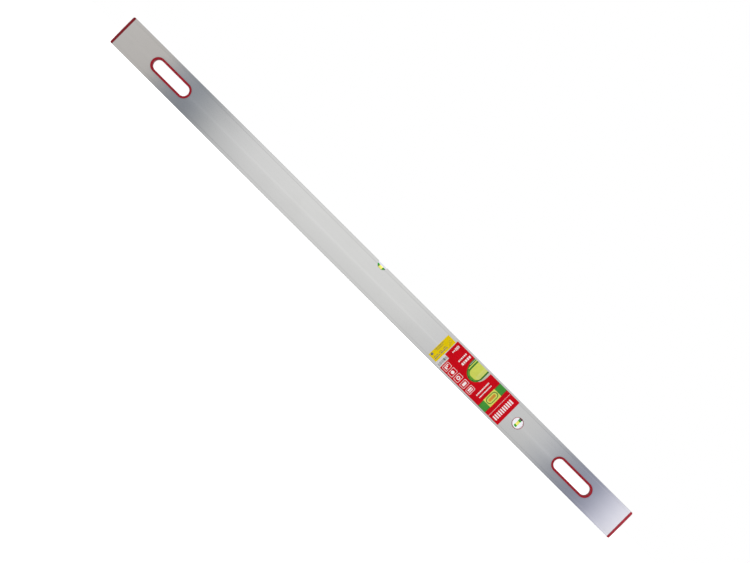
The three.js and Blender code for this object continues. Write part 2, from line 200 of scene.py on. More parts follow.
def loft(rings):
    """Joins rings of equally many points, and closes the first and the last."""
    bm = bmesh.new()
    rows = [[bm.verts.new(point) for point in ring] for ring in rings]
    count = len(rings[0])
    for row, following in zip(rows, rows[1:]):
        for k in range(count):
            after = (k + 1) % count
            bm.faces.new((row[k], row[after], following[after], following[k]))
    bm.faces.new(rows[0])
    bm.faces.new(rows[-1])
    return bm


def soft_prism(corners, radii, low, high, edge, place, steps=6, edge_steps=3):
    """A prism with rounded rims, between two levels along its third axis."""
    rings = []
    quarter = [math.pi / 2 * k / edge_steps for k in range(edge_steps + 1)]
    levels = [(low + edge * (1 - math.sin(a)), edge * (1 - math.cos(a))) for a in reversed(quarter)]
    levels += [(high - edge * (1 - math.sin(a)), edge * (1 - math.cos(a))) for a in quarter]
    for level, amount in levels:
        near = []
        for index, radius in enumerate(radii):
            change = -amount if turns_left(corners, index) else amount
            near.append(max(radius + change, SMALLEST_RADIUS) if radius > 0 else 0)
        outline = rounded(inset(corners, amount), near, steps)
        rings.append([place(point.x, point.y, level) for point in outline])
    return loft(rings)


def along_x(y, z, x):
    return (x, y, z)


def along_y(x, z, y):
    return (x, y, z)


def prism(outline, low, high, place):
    return loft([[place(p[0], p[1], level) for p in outline] for level in (low, high)])


def turned(profile, sides=64):
    """Pairs of (along X, radius), turned about X. The first and the last lie on the axis."""
    bm = bmesh.new()
    rows = []
    for along, radius in profile:
        if radius < ON_AXIS:
            rows.append([bm.verts.new((along, 0, 0))])
            continue
        angles = [2 * math.pi * k / sides for k in range(sides)]
        rows.append([
            bm.verts.new((along, radius * math.cos(a), radius * math.sin(a))) for a in angles
        ])
    for row, following in zip(rows, rows[1:]):
        for k in range(sides):
            after = (k + 1) % sides
            corners = [row[k % len(row)], row[after % len(row)]]
            corners += [following[after % len(following)], following[k % len(following)]]
            distinct = list(dict.fromkeys(corners))
            if len(distinct) > 2:
                bm.faces.new(distinct)
    return bm


def swept(stations, section):
    """A closed section carried round stations of (centre, outward direction), in X and Z."""
    bm = bmesh.new()
    rows = []
    for centre, outward in stations:
        rows.append([
            bm.verts.new((centre.x + outward.x * out, y, centre.y + outward.y * out))
            for out, y in section
        ])
    for row, following in zip(rows, rows[1:] + rows[:1]):
        for k in range(len(section)):
            after = (k + 1) % len(section)
            bm.faces.new((row[k], row[after], following[after], following[k]))
    return bm


def hand_hole_stations(middle_x, steps=28):
    """The two half circles of a hand hole, from its lower right round to its lower left."""
    straight = (HOLE_LENGTH - HOLE_HEIGHT) / 2
    stations = []
    for side in (1, -1):
        for step in range(steps + 1):
            angle = math.pi * (step / steps - 0.5)
            outward = side * Vector((math.cos(angle), math.sin(angle)))
            stations.append((Vector((middle_x + side * straight, MIDDLE_Z)), outward))
    return stations


def circle_stations(x, z, steps=96):
    angles = [2 * math.pi * step / steps for step in range(steps)]
    return [(Vector((x, z)), Vector((math.cos(a), math.sin(a)))) for a in angles]


def to_object(name, bm, matrix=Matrix.Identity(4)):
    bmesh.ops.recalc_face_normals(bm, faces=bm.faces)
    bmesh.ops.transform(bm, matrix=Matrix.Scale(MM, 4) @ matrix, verts=bm.verts)
    mesh = bpy.data.meshes.new(name)
    bm.to_mesh(mesh)
    bm.free()
    obj = bpy.data.objects.new(name, mesh)
    bpy.context.scene.collection.objects.link(obj)
    return obj


def combine(obj, tools, operation="DIFFERENCE"):
    """Cuts the tools out of a solid, or joins them to it, for good."""
    for tool in tools:
        modifier = obj.modifiers.new("combine", "BOOLEAN")
        modifier.operation = operation
        modifier.solver = "EXACT"
        modifier.object = tool
    graph = bpy.context.evaluated_depsgraph_get()
    mesh = bpy.data.meshes.new_from_object(obj.evaluated_get(graph))
    obj.modifiers.clear()
    plain, obj.data = obj.data, mesh
    bpy.data.meshes.remove(plain)
    for tool in tools:
        bpy.data.objects.remove(tool)
    return obj


def surface_of(node, bm, matrix=Matrix.Identity(4)):
    return to_object(node + "_surface", bm, matrix)


def piece(obj, node, slot, materials, body="root", crease=38):
    """Finishes a piece that stands for one CAD node."""
    for material in materials:
        obj.data.materials.append(material)
    obj.data.polygons.foreach_set("use_smooth", [True] * len(obj.data.polygons))
    obj.data.set_sharp_from_angle(angle=math.radians(crease))
    weighted = obj.modifiers.new("weighted normals", "WEIGHTED_NORMAL")
    weighted.keep_sharp = True
    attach(obj, body)
    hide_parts(node)


# Shader building


def linear(*srgb):
    """A colour given as 0 to 255, as the shaders take it."""
    shares = [value / 255 for value in srgb]
    return tuple(s / 12.92 if s <= 0.04045 else ((s + 0.055) / 1.055) ** 2.4 for s in shares)


def opaque(colour):
    return (*colour[:3], 1)


def even(value):
    """A grey, given as the shaders take it."""
    return (value,) * 3


class Nodes:
    """Adds nodes to one tree; a socket given as a value is linked, anything else is set."""

    def __init__(self, tree):
        self.tree = tree
        tree.nodes.clear()

    def add(self, kind, inputs=None, **settings):
        node = self.tree.nodes.new(kind)
        for key, value in settings.items():
            setattr(node, key, value)
        for key, value in (inputs or {}).items():
            if isinstance(value, bpy.types.NodeSocket):
                self.tree.links.new(value, node.inputs[key])
            else:
                node.inputs[key].default_value = value
        return node

    def maths(self, operation, first, second=0.5):
        return self.add("ShaderNodeMath", {0: first, 1: second}, operation=operation).outputs[0]

    def plus(self, first, second):
        return self.maths("ADD", first, second)

    def times(self, first, second):
        return self.maths("MULTIPLY", first, second)

    def remap(self, value, from_min, from_max, to_min, to_max):
        inputs = {0: value, 1: from_min, 2: from_max, 3: to_min, 4: to_max}
        return self.add("ShaderNodeMapRange", inputs).outputs[0]

    def mix(self, factor, first, second):
        node = self.add("ShaderNodeMix", {0: factor}, data_type="RGBA")
        for index, value in ((6, first), (7, second)):
            if isinstance(value, bpy.types.NodeSocket):
                self.tree.links.new(value, node.inputs[index])
            else:
                node.inputs[index].default_value = opaque(value)
        return node.outputs[2]

    def ramp(self, factor, stops):
        node = self.add("ShaderNodeValToRGB", {0: factor})
        band = node.color_ramp
        while len(band.elements) < len(stops):
            band.elements.new(0.5)
        for element, (position, colour) in zip(band.elements, stops):
            element.position = position
            element.color = opaque(colour)
        return node.outputs[0]

    def axes(self):
        """X, Y and Z of the object coordinates, in metres."""
        coordinates = self.add("ShaderNodeTexCoord")
        return self.add("ShaderNodeSeparateXYZ", {0: coordinates.outputs["Object"]}).outputs

    def noise(self, waves, detail, roughness):
        """Noise with so many waves to a metre along each axis of the object."""
        coordinates = self.add("ShaderNodeTexCoord")
        stretch = {"Vector": coordinates.outputs["Object"], "Scale": waves}
        vector = self.add("ShaderNodeMapping", stretch).outputs[0]
        inputs = {"Vector": vector, "Scale": 1.0, "Detail": detail, "Roughness": roughness}
        return self.add("ShaderNodeTexNoise", inputs).outputs[0]

    def bump(self, height, depth, strength):
        inputs = {"Height": height, "Distance": depth, "Strength": strength}
        return self.add("ShaderNodeBump", inputs).outputs[0]

    def surface(self, inputs):
        shader = self.add("ShaderNodeBsdfPrincipled", inputs)
        output = self.add("ShaderNodeOutputMaterial")
        self.tree.links.new(shader.outputs[0], output.inputs["Surface"])


def new_material(name):
    material = bpy.data.materials.new(name)
    material.use_nodes = True
    return material, Nodes(material.node_tree)


# Aluminium: extruded and anodised, with its grain along the level


def painted_hole_shade(nodes):
    """How much painted shade darkens the metal: close round the hand holes, and below them."""
    x, _, z = nodes.axes()
    outwards = nodes.maths("SUBTRACT", nodes.maths("ABSOLUTE", x), HOLE_OFFSET * MM)
    along = nodes.maths("ABSOLUTE", outwards)
    straight = (HOLE_LENGTH - HOLE_HEIGHT) / 2 * MM
    beyond = nodes.maths("MAXIMUM", nodes.maths("SUBTRACT", along, straight), 0)
    up = nodes.maths("SUBTRACT", z, MIDDLE_Z * MM)
    away = nodes.maths("SQRT", nodes.plus(nodes.times(beyond, beyond), nodes.times(up, up)))
    flange = (HOLE_HEIGHT / 2 + GRIP_FLANGE_WIDTH) * MM
    # close is painted shade along the grip flanges; lower is painted shade low on the face near the
    # holes.
    close = nodes.remap(away, flange, flange + 0.005, 0.28, 0)
    below = nodes.remap(z, 0.030, 0.046, 1, 0)
    strength = nodes.remap(x, 0.74, 0.78, 0.30, 0.13)
    inner_fade = nodes.remap(outwards, -0.170, -0.080, 0, 1)
    outer_fade = nodes.remap(outwards, 0.030, 0.070, 1, 0)
    lengthwise = nodes.times(inner_fade, outer_fade)
    lower = nodes.times(nodes.times(below, strength), lengthwise)
    return nodes.plus(close, lower)


def aluminium():
    """Brushed along X; its tone changes a little at the grooves and over the web inside. Painted
    shade darkens the lower half of the face and the metal round the hand holes.
    """
    material, nodes = new_material("anodised_aluminium")
    fine = nodes.noise((2, 900, 900), 4, 0.6)
    broad = nodes.noise((0.7, 90, 90), 3, 0.5)
    grain = nodes.plus(nodes.times(fine, 0.6), nodes.times(broad, 0.4))
    height = LEVEL_HEIGHT * MM
    strip = GROOVE_FROM_EDGE * MM
    middle = MIDDLE_Z * MM
    strip_blend = 0.0012
    web_inner, web_outer = 0.002, 0.004
    share = nodes.maths("DIVIDE", nodes.axes()["Z"], height)
    low_strip = (strip / height, (strip + strip_blend) / height)
    high_strip = ((height - strip - strip_blend) / height, (height - strip) / height)
    web = ((middle - web_outer) / height, (middle - web_inner) / height)
    web += ((middle + web_inner) / height, (middle + web_outer) / height)
    # The lower half of the face is toned darker than the upper half: painted shade.
    tones = [
        (low_strip[0], even(0.85)),
        (low_strip[1], even(0.875)),
        (0.36, even(0.90)),
        (0.43, even(0.92)),
        (web[0], even(0.93)),
        (web[1], even(0.965)),
        (web[2], even(0.965)),
        (web[3], even(0.94)),
        (high_strip[0], even(0.94)),
        (high_strip[1], even(0.92)),
    ]
    from_middle = nodes.maths("ABSOLUTE", nodes.axes()["X"])
    near_ends = nodes.remap(from_middle, 0.85, 0.90, 0, 0.8)
    evened = nodes.mix(near_ends, nodes.ramp(share, tones), even(0.92))
    # Painted shade: a bluish grey mixed in round the hand holes and below them.
    tone = nodes.mix(painted_hole_shade(nodes), evened, (0.62, 0.63, 0.66))
    streaked = nodes.mix(nodes.remap(grain, 0.35, 0.65, 0, 0.10), tone, (0.70, 0.71, 0.73))
    smudge = nodes.noise((9, 14, 14), 4, 0.6)
    smudged = nodes.mix(nodes.remap(smudge, 0.52, 0.75, 0, 0.10), streaked, (0.74, 0.73, 0.71))
    grain_roughness = nodes.remap(grain, 0.3, 0.7, 0.06, 0.08)
    roughness = nodes.plus(grain_roughness, nodes.remap(smudge, 0.52, 0.8, 0, 0.03))
    ridges = nodes.bump(grain, 0.00002, 0.35)
    tangent = nodes.add("ShaderNodeTangent", direction_type="RADIAL", axis="X").outputs[0]
    nodes.surface({
        "Base Color": smudged,
        "Metallic": 1.0,
        "Roughness": roughness,
        "Anisotropic": 1.0,
        "Tangent": tangent,
        "Normal": ridges,
    })
    return material


# Moulded plastics


def moulded_plastic(name, srgb, worn_srgb, roughness, worn=0.35):
    """Spark-textured moulding with flow marks, and paler scuffs where it is rubbed."""
    colour = linear(*srgb)
    material, nodes = new_material(name)
    flow = nodes.noise((60, 60, 60), 4, 0.6)
    texture = nodes.noise((2600, 2600, 2600), 2, 0.5)
    scuff = nodes.noise((150, 500, 150), 5, 0.6)
    scuffed = nodes.remap(scuff, 0.55, 0.80, 0, worn)
    darker = tuple(0.82 * channel for channel in colour)
    body = nodes.mix(nodes.remap(flow, 0.35, 0.65, 0, 1), colour, darker)
    body = nodes.mix(scuffed, body, linear(*worn_srgb))
    spread = nodes.remap(flow, 0.3, 0.7, roughness - 0.05, roughness + 0.05)
    height = nodes.plus(texture, nodes.times(scuff, 0.5))
    nodes.surface({
        "Base Color": body,
        "Roughness": nodes.plus(spread, nodes.times(scuffed, 0.3)),
        "Specular IOR Level": 0.2,
        "Normal": nodes.bump(height, 0.00004, 0.35),
    })
    return material


# Clear and tinted parts of the vials. What lies in the acrylic has its index relative to the
# acrylic, and the air has one near the liquid's, so that the rim of a bubble stays thin.


def see_through(
    name, colour, index, roughness=0.02, glow=None, glow_strength=0.0, ripple=0.00001,
):
    """Glass-like; a faint glow stands for the light that a coloured part gathers and spreads."""
    material, nodes = new_material(name)
    cloud = nodes.noise((140, 140, 140), 3, 0.6)
    thinner = tuple(0.5 + 0.5 * channel for channel in colour)
    tint = nodes.mix(nodes.remap(cloud, 0.3, 0.7, 0, 0.05), colour, thinner)
    inputs = {
        "Base Color": tint,
        "Roughness": nodes.remap(cloud, 0.3, 0.7, roughness, roughness * 1.8),
        "IOR": index,
        "Transmission Weight": 1.0,
        "Normal": nodes.bump(nodes.noise((900, 900, 900), 2, 0.5), ripple, 0.4),
    }
    if glow is not None:
        inputs["Emission Color"] = opaque(glow)
        inputs["Emission Strength"] = glow_strength
    nodes.surface(inputs)
    return material


# Printed film of the labels


def ink(name, srgb, roughness=0.34):
    colour = linear(*srgb)
    material, nodes = new_material(name)
    print_grain = nodes.noise((1900, 1900, 1900), 2, 0.5)
    patchy = nodes.noise((45, 45, 45), 4, 0.6)
    lighter = tuple(channel + 0.004 * (1 - channel) for channel in colour)
    darker = tuple(0.88 * channel for channel in colour)
    body = nodes.mix(nodes.remap(patchy, 0.35, 0.65, 0, 1), colour, darker)
    body = nodes.mix(nodes.remap(print_grain, 0.45, 0.75, 0, 0.5), body, lighter)
    rubbed = nodes.remap(nodes.noise((30, 30, 300), 5, 0.7), 0.64, 0.78, 0, 0.012)
    body = nodes.mix(rubbed, body, (0.80, 0.78, 0.76))
    wrinkle = nodes.noise((90, 90, 60), 3, 0.5)
    nodes.surface({
        "Base Color": body,
        "Roughness": nodes.remap(patchy, 0.3, 0.7, roughness - 0.06, roughness + 0.08),
        "Specular IOR Level": 0.05,
        "Normal": nodes.bump(wrinkle, 0.00025, 0.25),
    })
    return material


ALUMINIUM = aluminium()
RED_PLASTIC = moulded_plastic("red_moulding", (148, 10, 32), (170, 70, 78), 0.46, worn=0.15)
# The end caps are one plastic in two copies: the left one darker as painted shade, the right one
# paler as painted light.
SHADED_CAP = moulded_plastic("red_cap_painted_shade", (124, 12, 26), (170, 70, 78), 0.46, worn=0.12)
LIT_CAP = moulded_plastic("red_cap_painted_light", (160, 40, 54), (184, 96, 102), 0.46, worn=0.2)
RED_RING = moulded_plastic("red_ring_moulding", (158, 30, 44), (190, 90, 96), 0.38)
GREY_PLASTIC = moulded_plastic("grey_moulding", (84, 87, 90), (130, 132, 134), 0.55)
DARK_PLUG = moulded_plastic("dark_rubber", (86, 56, 48), (104, 84, 76), 0.5)
BLACK_LINE = moulded_plastic("black_reading_line", (22, 23, 26), (60, 60, 62), 0.4)
ACRYLIC = see_through("clear_acrylic", (0.87, 0.87, 0.93), 1.49)
BLOCK_ACRYLIC = see_through("clear_acrylic_block", (0.76, 0.76, 0.85), 1.49)
BORE_WALL = see_through("acrylic_bore", (0.985, 0.99, 0.99), 1.0, ripple=0)
FROSTED_BEVEL = see_through("frosted_bevel", (0.42, 0.24, 0.27), 1.49, roughness=0.3)
GREEN_TINT = see_through(
    "green_tinted_sleeve", (0.012, 0.44, 0.02), 1.0, glow=(0.01, 0.25, 0.01), glow_strength=0.3,
)
YELLOW_LIQUID = see_through(
    "yellow_liquid", (0.90, 0.87, 0.15), 0.94, glow=(0.75, 0.80, 0.05), glow_strength=0.06,
)
BUBBLE_AIR = see_through("vial_air", (0.995, 0.995, 0.93), 0.93, roughness=0.01)

# Box profile


def profile_section():
    """The outside of the extrusion in Y and Z, with a groove beside each measuring edge."""
    low = GROOVE_FROM_EDGE
    high = LEVEL_HEIGHT - GROOVE_FROM_EDGE
    half = GROOVE_WIDTH / 2
    right = []
    for z in (low, high):
        right += [(HALF_DEPTH, z - half), (HALF_DEPTH - GROOVE_DEPTH, z), (HALF_DEPTH, z + half)]
    left = [(-y, z) for y, z in reversed(right)]
    lower = [(-HALF_DEPTH, 0), (HALF_DEPTH, 0)]
    upper = [(HALF_DEPTH, LEVEL_HEIGHT), (-HALF_DEPTH, LEVEL_HEIGHT)]
    corners = lower + right + upper + left
    radii = [OUTER_CORNER] * 2 + [0] * len(right) + [OUTER_CORNER] * 2 + [0] * len(left)
    return rounded(corners, radii)


def deburred_drill(name, x, z, radius):
    """A drill along Y whose flanks widen at both faces of the profile."""
    reach = 3
    edge = HALF_DEPTH - DEBURR
    half = [(edge, radius), (HALF_DEPTH + reach, radius + DEBURR + reach), (HALF_DEPTH + reach, 0)]
    profile = [(-along, r) for along, r in reversed(half)] + half
    turn = Matrix.Translation((x, 0, z)) @ Matrix.Rotation(math.pi / 2, 4, "Z")
    return to_object(name, turned(profile, FINE_SIDES), turn)


def box_profile():
    outside = prism(profile_section(), -PROFILE_END, PROFILE_END, along_x)
    shell = surface_of("box_profile", outside)
    cutters = []
    for bottom, top in CHAMBERS:
        corners = rectangle(-CHAMBER_HALF_DEPTH, bottom, CHAMBER_HALF_DEPTH, top)
        chamber = prism(rounded(corners, CHAMBER_CORNER), -LEVEL_LENGTH, LEVEL_LENGTH, along_x)
        cutters.append(to_object("chamber", chamber))
    for side in (-1, 1):
        radius = HOLE_HEIGHT / 2 + GRIP_CUT_MARGIN
        outline = [c + o * radius for c, o in hand_hole_stations(side * HOLE_OFFSET)]
        opening = prism(outline, -2 * HALF_DEPTH, 2 * HALF_DEPTH, along_y)
        cutters.append(to_object("hand_hole", opening))
    cutters.append(deburred_drill("notch", LEVEL_VIAL_X, NOTCH_Z, NOTCH_RADIUS))
    cutters.append(deburred_drill("plumb_hole", PLUMB_VIAL_X, MIDDLE_Z, PLUMB_HOLE_RADIUS))
    piece(combine(shell, cutters), "box_profile", "aluminium", [ALUMINIUM], crease=30)


# End caps


def cap_flange():
    """A dished flange that rounds more towards the measuring edges than towards the faces.

    A stage is (x, how far in from the wide faces, how far in from the measuring edges).
    """
    seat = PROFILE_END + CAP_JOINT_GAP
    tip = CAP_HI.x
    half = HALF_DEPTH - CAP_INSET
    low = CAP_INSET
    high = LEVEL_HEIGHT - CAP_INSET
    stages = [(seat, 0.3, 0.3), (seat + 0.1, 0.1, 0.1), (seat + 0.35, 0, 0)]
    steps = 10
    for step in range(steps + 1):
        share = step / steps
        x = tip - CAP_CORNER * (1 - share)
        in_z = CAP_CORNER * (1 - math.sqrt(max(0, 1 - share ** 2)))
        side_share = max(0, (x - tip + CAP_SIDE_CORNER) / CAP_SIDE_CORNER)
        in_y = CAP_SIDE_CORNER * (1 - math.sqrt(max(0, 1 - side_share ** 2)))
        stages.append((x, min(in_y, CAP_SIDE_CORNER), min(in_z, CAP_CORNER)))
    flat_y = CAP_SIDE_CORNER + CAP_RECESS_BORDER
    flat_z = CAP_CORNER + CAP_RECESS_BORDER
    for sunk, inwards in ((0, -0.5), (CAP_RECESS / 2, -0.1), (CAP_RECESS, 0.3)):
        stages.append((tip - sunk, flat_y + inwards, flat_z + inwards))
    rings = []
    for x, in_y, in_z in stages:
        corners = rectangle(-half + in_y, low + in_z, half - in_y, high - in_z)
        radius = max(0.5, CAP_SECTION_ROUND - 0.25 * in_y)
        rings.append([along_x(p.x, p.y, x) for p in rounded(corners, radius)])
    return loft(rings)


def cap_leg(bottom, top):
    """A hollow leg that pushes into a chamber, with a tapered tip. A stage is (x, how far in)."""
    half = CHAMBER_HALF_DEPTH - FIT_GAP
    low = bottom + FIT_GAP
    high = top - FIT_GAP
    tip = CAP_LO.x
    root = PROFILE_END + CAP_LEG_ROOT
    wall = CAP_LEG_WALL
    outside = [(root, 0), (tip + 2, 0), (tip, 0.5)]
    inside = [(tip, wall - 0.3), (tip + 0.4, wall), (root, wall)]
    rings = []
    for x, shrink in outside + inside:
        corners = rectangle(-half + shrink, low + shrink, half - shrink, high - shrink)
        radius = max(0.3, CHAMBER_CORNER - shrink / 2)
        rings.append([along_x(p.x, p.y, x) for p in rounded(corners, radius)])
    return loft(rings)


def end_cap(node, turn, material):
    flange = surface_of(node, cap_flange(), turn)
    legs = [to_object("leg", cap_leg(*chamber), turn) for chamber in CHAMBERS]
    piece(combine(flange, legs, "UNION"), node, "red_plastic", [material])


# Hand-hole grips: two shells, the rear one sleeved over the front one


def grip(node, middle_x, section, radii):
    """Carries a section of (outwards from the hole's edge, y) round a hand hole."""
    centred = [(HOLE_HEIGHT / 2 + margin, y) for margin, y in section]
    shell = swept(hand_hole_stations(middle_x), rounded(centred, radii, 5))
    piece(surface_of(node, shell), node, "red_plastic", [RED_PLASTIC])


def hand_grips():
    face = GRIP_FLANGE_FACE
    width = GRIP_FLANGE_WIDTH
    front = [
        (0, HALF_DEPTH - FIT_GAP), (0, -face), (width, -face), (width, -HALF_DEPTH),
        (GRIP_SLEEVE_WALL, -HALF_DEPTH), (GRIP_SLEEVE_WALL, HALF_DEPTH - FIT_GAP),
    ]
    rear = [
        (0, HALF_DEPTH), (0, face), (width, face), (width, HALF_DEPTH),
        (GRIP_REAR_OUTER, HALF_DEPTH), (GRIP_REAR_OUTER, -GRIP_REAR_REACH),
        (GRIP_REAR_INNER, -GRIP_REAR_REACH), (GRIP_REAR_INNER, HALF_DEPTH),
    ]
    for side, middle_x in (("left", -HOLE_OFFSET), ("right", HOLE_OFFSET)):
        grip(side + "_grip_front", middle_x, front, [0.25, 0.9, 0.85, 0.1, 0.25, 0.3])
        grip(side + "_grip_rear", middle_x, rear, [0.1, 0.85, 0.85, 0.1, 0.25, 0.3, 0.3, 0.1])


# Vials, drawn along X with the plug at the +X end


def rounded_end(tip, radius, curve, steps=10):
    """The half profile of a blunt end, from the axis out to the full radius."""
    angles = [math.pi / 2 * step / steps for step in range(steps + 1)]
    return [(tip, 0)] + [
        (tip + curve * (1 - math.cos(a)), radius - curve + curve * math.sin(a)) for a in angles
    ]


def bore(closed_end, outer_x):
    profile = rounded_end(-closed_end, BORE_RADIUS, CAVITY_ROUND)
    return turned(profile + [(outer_x, BORE_RADIUS), (outer_x, 0)])


def drill_block(block, place, closed_end, outer_x):
    """Bores a block, and gives the bore's wall the second material."""
    combine(block, [to_object("bore", bore(closed_end, outer_x), place)])
    back = place.inverted()
    slack = 0.02
    for face in block.data.polygons:
        at = back @ (face.center / MM)
        if math.hypot(at.y, at.z) < BORE_RADIUS + slack and at.x > -closed_end - slack:
            face.material_index = 1


def liquid(closed_end):
    """Fills the bore between the lines, and is narrower where lines and sleeves surround it."""
    shoulder = LINE_OFFSET - LINE_HALF - LINER_GAP
    flare = 0.12
    outer = PLUG_FACE - LINER_GAP
    tip = -closed_end + LINER_DOME + LINER_GAP
    return turned(rounded_end(tip, LIQUID_RADIUS, CAVITY_ROUND - LINER_GAP) + [
        (-shoulder, LIQUID_RADIUS), (-shoulder + flare, LINER_RADIUS - flare),
        (-shoulder + 2 * flare, LINER_RADIUS), (shoulder - 2 * flare, LINER_RADIUS),
        (shoulder - flare, LINER_RADIUS - flare), (shoulder, LIQUID_RADIUS),
        (outer, LIQUID_RADIUS), (outer, 0),
    ])


def bubble():
    """A long bubble with blunt ends, a little fuller in the middle."""
    start = rounded_end(-BUBBLE_HALF, BUBBLE_RADIUS, BUBBLE_RADIUS * 0.9)
    middle = [(0, BUBBLE_RADIUS + 0.06)]
    end = [(-along, radius) for along, radius in reversed(start)]
    return turned(start + middle + end)


def liner_ring(from_x, to_x):
    """A thin ring that lies against the wall of the bore, about X."""
    corners = [
        (LINER_INNER, from_x), (LINER_RADIUS, from_x), (LINER_RADIUS, to_x), (LINER_INNER, to_x),
    ]
    ring = swept(circle_stations(0, 0, 64), rounded(corners, 0.08, 2))
    bmesh.ops.rotate(ring, matrix=Matrix.Rotation(-math.pi / 2, 3, "Z"), verts=ring.verts)
    return ring


def closed_sleeve(closed_end, open_end):
    """A thin sleeve that ends in a dome against the closed end of the bore."""
    outside = rounded_end(-closed_end + LINER_GAP, LINER_RADIUS, CAVITY_ROUND)
    inside = rounded_end(-closed_end + LINER_DOME, LINER_INNER, CAVITY_ROUND - LINER_GAP)
    return turned(outside + [(open_end, LINER_RADIUS), (open_end, LINER_INNER)] + inside[::-1])


def plug(outer_x):
    """A plug with a small dished socket in its outer end."""
    rim, floor_radius, depth = 1.9, 1.4, 0.8
    corners = [
        (PLUG_FACE, 0), (PLUG_FACE, LINER_RADIUS), (outer_x, LINER_RADIUS), (outer_x, rim),
        (outer_x - depth, floor_radius), (outer_x - depth, 0),
    ]
    return turned(rounded(corners, [0, 0.3, 0.35, 0.2, 0.2, 0], 4, closed=False))


def vial_insides(vial, place, closed_side, plug_side, closed_end, plug_end, rise):
    """Everything that lies in the bore of one vial; the two sides name its lines and sleeves."""
    sleeve_start = LINE_OFFSET + LINE_HALF + LINER_GAP
    first_line = liner_ring(-LINE_OFFSET - LINE_HALF, -LINE_OFFSET + LINE_HALF)
    second_line = liner_ring(LINE_OFFSET - LINE_HALF, LINE_OFFSET + LINE_HALF)
    first_field = closed_sleeve(closed_end, -sleeve_start)
    second_field = liner_ring(sleeve_start, PLUG_FACE - LINER_GAP)
    parts = [
        ("plug", plug(plug_end), "plug_rubber", DARK_PLUG),
        ("liquid", liquid(closed_end), "vial_liquid", YELLOW_LIQUID),
        ("line_" + closed_side, first_line, "line_black", BLACK_LINE),
        ("line_" + plug_side, second_line, "line_black", BLACK_LINE),
        ("field_" + closed_side, first_field, "field_green", GREEN_TINT),
        ("field_" + plug_side, second_field, "field_green", GREEN_TINT),
    ]
    for part, bm, slot, material in parts:
        node = vial + "_" + part
        piece(surface_of(node, bm, place), node, slot, [material])
    node = vial + "_bubble"
    raised = place @ Matrix.Translation((0, 0, rise))
    air = surface_of(node, bubble(), raised)
    piece(air, node, "vial_bubble", [BUBBLE_AIR], body=vial.replace("vial", "bubble"))


def level_vial():
    """The horizontal vial: a block whose raised pad fills the notch in the top edge."""
    lo, hi = box_mm("level_vial_block")
    place = Matrix.Translation((LEVEL_VIAL_X, 0, LEVEL_VIAL_Z))
    shoulder = CHAMBER_TOP - FIT_GAP
    pad = math.sqrt(NOTCH_RADIUS ** 2 - (NOTCH_Z - shoulder) ** 2) - 2 * FIT_GAP
    pad_left, pad_right = LEVEL_VIAL_X - pad, LEVEL_VIAL_X + pad
    corners = [
        (lo.x, lo.z), (hi.x, lo.z), (hi.x, shoulder), (pad_right, shoulder),
        (pad_right, hi.z), (pad_left, hi.z), (pad_left, shoulder), (lo.x, shoulder),
    ]
    radii = [0.8, 0.8, 0.8, 0.4, 0.8, 0.8, 0.4, 0.8]
    solid = soft_prism(corners, radii, lo.y, hi.y, 0.4, along_y)
    block = surface_of("level_vial_block", solid)
    drill_block(block, place, LEVEL_CLOSED_END, hi.x - LEVEL_VIAL_X + BORE_RADIUS)
    piece(block, "level_vial_block", "acrylic", [BLOCK_ACRYLIC, BORE_WALL])
    plug_end = box_mm("level_vial_plug")[1].x - LEVEL_VIAL_X
    vial_insides("level_vial", place, "left", "right", LEVEL_CLOSED_END, plug_end, BUBBLE_RISE)


def level_vial_cradle():
    """A bridge on two feet that holds the block of the horizontal vial from below."""
    lo, hi = box_mm("level_vial_cradle")
    lip = CRADLE_LIP_WIDTH
    seat = box_mm("level_vial_block")[0].z - FIT_GAP
    under = seat - CRADLE_SEAT_THICKNESS
    corners = [
        (lo.x, lo.z), (lo.x + 2 * lip, lo.z), (lo.x + 2 * lip, under), (hi.x - 2 * lip, under),
        (hi.x - 2 * lip, lo.z), (hi.x, lo.z), (hi.x, hi.z), (hi.x - lip, hi.z),
        (hi.x - lip, seat), (lo.x + lip, seat), (lo.x + lip, hi.z), (lo.x, hi.z),
    ]
    radii = [0.7, 0.7, 1.8, 1.8, 0.7, 0.7, 0.7, 0.7, 0.4, 0.4, 0.7, 0.7]
    solid = soft_prism(corners, radii, lo.y, hi.y, 0.35, along_y)
    cradle = surface_of("level_vial_cradle", solid)
    piece(cradle, "level_vial_cradle", "grey_plastic", [GREY_PLASTIC])


def plumb_vial():
    """The upright vial: a round block with frosted bevels, and the vial's +X end turned up."""
    centre = Matrix.Translation((PLUMB_VIAL_X, 0, MIDDLE_Z))
    place = centre @ Matrix.Rotation(-math.pi / 2, 4, "Y")
    half = box_mm("plumb_vial_block")[1].y
    bevel = PLUMB_BLOCK_BEVEL
    radius = PLUMB_BLOCK_RADIUS
    corners = [
        (-half, 0), (-half, radius - bevel), (-half + bevel, radius),
        (half - bevel, radius), (half, radius - bevel), (half, 0),
    ]
    profile = rounded(corners, [0, 0.6, 0.6, 0.6, 0.6, 0], 4, closed=False)
    across = place @ Matrix.Rotation(math.pi / 2, 4, "Z")
    block = surface_of("plumb_vial_block", turned(profile, FINE_SIDES), across)
    drill_block(block, place, PLUMB_CLOSED_END, radius + BORE_RADIUS)
    margin = 0.1
    for face in block.data.polygons:
        at = face.center / MM
        from_axis = math.hypot(at.x - PLUMB_VIAL_X, at.z - MIDDLE_Z)
        if from_axis > radius - bevel + margin and abs(at.y) > half - bevel + margin:
            face.material_index = 2
    piece(block, "plumb_vial_block", "acrylic", [ACRYLIC, BORE_WALL, FROSTED_BEVEL])
    plug_end = box_mm("plumb_vial_plug")[1].z - MIDDLE_Z
    vial_insides("plumb_vial", place, "lower", "upper", PLUMB_CLOSED_END, plug_end, 0)


